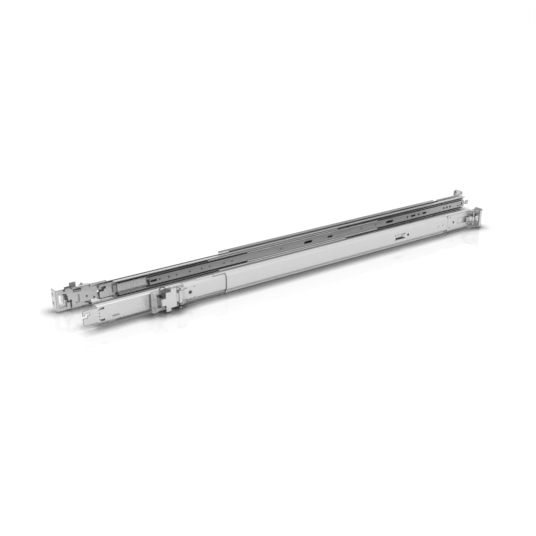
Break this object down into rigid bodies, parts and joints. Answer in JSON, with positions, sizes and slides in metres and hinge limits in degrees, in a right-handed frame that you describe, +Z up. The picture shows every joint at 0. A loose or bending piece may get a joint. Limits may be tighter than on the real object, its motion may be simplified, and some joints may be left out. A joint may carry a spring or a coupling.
{
  "type": "sliding server rail pair",
  "caption": "Pair of telescopic ball-bearing rails with flanged front brackets and adjustable rear brackets, for hanging a server in a rack.",
  "frame": {"origin": "centre of the bounding box in plan, on the plane the rails stand on", "axes": "+X along the rails to the front of the rack, +Z up, +Y from the left rail to the right rail"},
  "size_m": [0.988, 0.136, 0.044],
  "materials": {
    "zinc_sheet": "bright zinc plated sheet",
    "slide_steel": "bright zinc plated, lightly greased",
    "retainer_steel": "bright stamped strip",
    "ball_steel": "polished",
    "pin_steel": "turned",
    "spring_steel": "dark spring wire",
    "bumper_rubber": "matt"
  },
  "bodies": {
    "rail_frames": {"left_support_channel": "zinc_sheet", "left_slide_outer_member": "slide_steel", "left_web_spacers": "pin_steel", "left_front_bracket": "zinc_sheet", "left_front_rack_studs": "pin_steel", "left_front_latch_pin": "pin_steel", "left_rear_bumper": "bumper_rubber", "right_support_channel": "zinc_sheet", "right_slide_outer_member": "slide_steel", "right_web_spacers": "pin_steel", "right_front_bracket": "zinc_sheet", "right_front_rack_studs": "pin_steel", "right_front_latch_pin": "pin_steel", "right_rear_bumper": "bumper_rubber"},
    "left_bracket": {"left_rear_bracket": "zinc_sheet", "left_rear_latch_base": "zinc_sheet", "left_rear_latch_rivets": "pin_steel", "left_rear_latch_pin": "pin_steel", "left_rear_latch_spring": "spring_steel"},
    "left_rear_latch_lever": {"left_rear_latch": "zinc_sheet"},
    "left_front_latch_lever": {"left_front_latch": "zinc_sheet"},
    "left_middle_member": {"left_slide_middle_member": "slide_steel"},
    "left_inner_member": {"left_slide_inner_member": "slide_steel", "left_release_lever_pivot": "pin_steel"},
    "left_outer_retainer": {"left_outer_ball_retainer": "retainer_steel", "left_outer_balls": "ball_steel"},
    "left_inner_retainer": {"left_inner_ball_retainer": "retainer_steel", "left_inner_balls": "ball_steel"},
    "left_lever": {"left_release_lever": "zinc_sheet"},
    "right_bracket": {"right_rear_bracket": "zinc_sheet", "right_rear_latch_base": "zinc_sheet", "right_rear_latch_rivets": "pin_steel", "right_rear_latch_pin": "pin_steel", "right_rear_latch_spring": "spring_steel"},
    "right_rear_latch_lever": {"right_rear_latch": "zinc_sheet"},
    "right_front_latch_lever": {"right_front_latch": "zinc_sheet"},
    "right_middle_member": {"right_slide_middle_member": "slide_steel"},
    "right_inner_member": {"right_slide_inner_member": "slide_steel", "right_release_lever_pivot": "pin_steel"},
    "right_outer_retainer": {"right_outer_ball_retainer": "retainer_steel", "right_outer_balls": "ball_steel"},
    "right_inner_retainer": {"right_inner_ball_retainer": "retainer_steel", "right_inner_balls": "ball_steel"},
    "right_lever": {"right_release_lever": "zinc_sheet"}
  },
  "joints": [
    {"name": "left_bracket_slide", "type": "slide", "parent": "rail_frames", "child": "left_bracket", "axis": [-1, 0, 0], "range_m": [-0.004, 0.214]},
    {"name": "left_rear_latch_hinge", "type": "hinge", "parent": "left_bracket", "child": "left_rear_latch_lever", "pos_m": [-0.317, -0.056, 0.02075], "axis": [0, 0, 1], "range_deg": [0, 12], "stiffness_Nm_per_rad": 0.25, "springref_deg": -14.32},
    {"name": "left_front_latch_hinge", "type": "hinge", "parent": "rail_frames", "child": "left_front_latch_lever", "pos_m": [0.4055, -0.0562, 0.02075], "axis": [0, 0, -1], "range_deg": [0, 12], "stiffness_Nm_per_rad": 0.08, "springref_deg": -14.32},
    {"name": "left_middle_slide", "type": "slide", "parent": "rail_frames", "child": "left_middle_member", "axis": [1, 0, 0], "range_m": [0, 0.38]},
    {"name": "left_inner_slide", "type": "slide", "parent": "left_middle_member", "child": "left_inner_member", "axis": [1, 0, 0], "range_m": [0, 0.36]},
    {"name": "left_outer_retainer_slide", "type": "slide", "parent": "rail_frames", "child": "left_outer_retainer", "axis": [1, 0, 0], "range_m": [0, 0.19]},
    {"name": "left_inner_retainer_slide", "type": "slide", "parent": "left_middle_member", "child": "left_inner_retainer", "axis": [1, 0, 0], "range_m": [0, 0.18]},
    {"name": "left_release_lever_hinge", "type": "hinge", "parent": "left_inner_member", "child": "left_lever", "pos_m": [0.381, -0.0346, 0.02075], "axis": [0, 1, 0], "range_deg": [0, 4], "stiffness_Nm_per_rad": 0.4, "springref_deg": -8.59},
    {"name": "right_bracket_slide", "type": "slide", "parent": "rail_frames", "child": "right_bracket", "axis": [-1, 0, 0], "range_m": [-0.197, 0.021]},
    {"name": "right_rear_latch_hinge", "type": "hinge", "parent": "right_bracket", "child": "right_rear_latch_lever", "pos_m": [-0.444, 0.056, 0.02075], "axis": [0, 0, -1], "range_deg": [0, 12], "stiffness_Nm_per_rad": 0.25, "springref_deg": -14.32},
    {"name": "right_front_latch_hinge", "type": "hinge", "parent": "rail_frames", "child": "right_front_latch_lever", "pos_m": [0.4715, 0.0562, 0.02075], "axis": [0, 0, 1], "range_deg": [0, 12], "stiffness_Nm_per_rad": 0.08, "springref_deg": -14.32},
    {"name": "right_middle_slide", "type": "slide", "parent": "rail_frames", "child": "right_middle_member", "axis": [1, 0, 0], "range_m": [0, 0.38]},
    {"name": "right_inner_slide", "type": "slide", "parent": "right_middle_member", "child": "right_inner_member", "axis": [1, 0, 0], "range_m": [0, 0.36]},
    {"name": "right_outer_retainer_slide", "type": "slide", "parent": "rail_frames", "child": "right_outer_retainer", "axis": [1, 0, 0], "range_m": [0, 0.19]},
    {"name": "right_inner_retainer_slide", "type": "slide", "parent": "right_middle_member", "child": "right_inner_retainer", "axis": [1, 0, 0], "range_m": [0, 0.18]},
    {"name": "right_release_lever_hinge", "type": "hinge", "parent": "right_inner_member", "child": "right_lever", "pos_m": [0.447, 0.0346, 0.02075], "axis": [0, 1, 0], "range_deg": [0, 4], "stiffness_Nm_per_rad": 0.4, "springref_deg": -8.59}
  ],
  "couplings": [
    {"joint": "left_outer_retainer_slide", "follows": "left_middle_slide", "ratio": 0.5},
    {"joint": "left_inner_retainer_slide", "follows": "left_inner_slide", "ratio": 0.5},
    {"joint": "right_outer_retainer_slide", "follows": "right_middle_slide", "ratio": 0.5},
    {"joint": "right_inner_retainer_slide", "follows": "right_inner_slide", "ratio": 0.5}
  ]
}
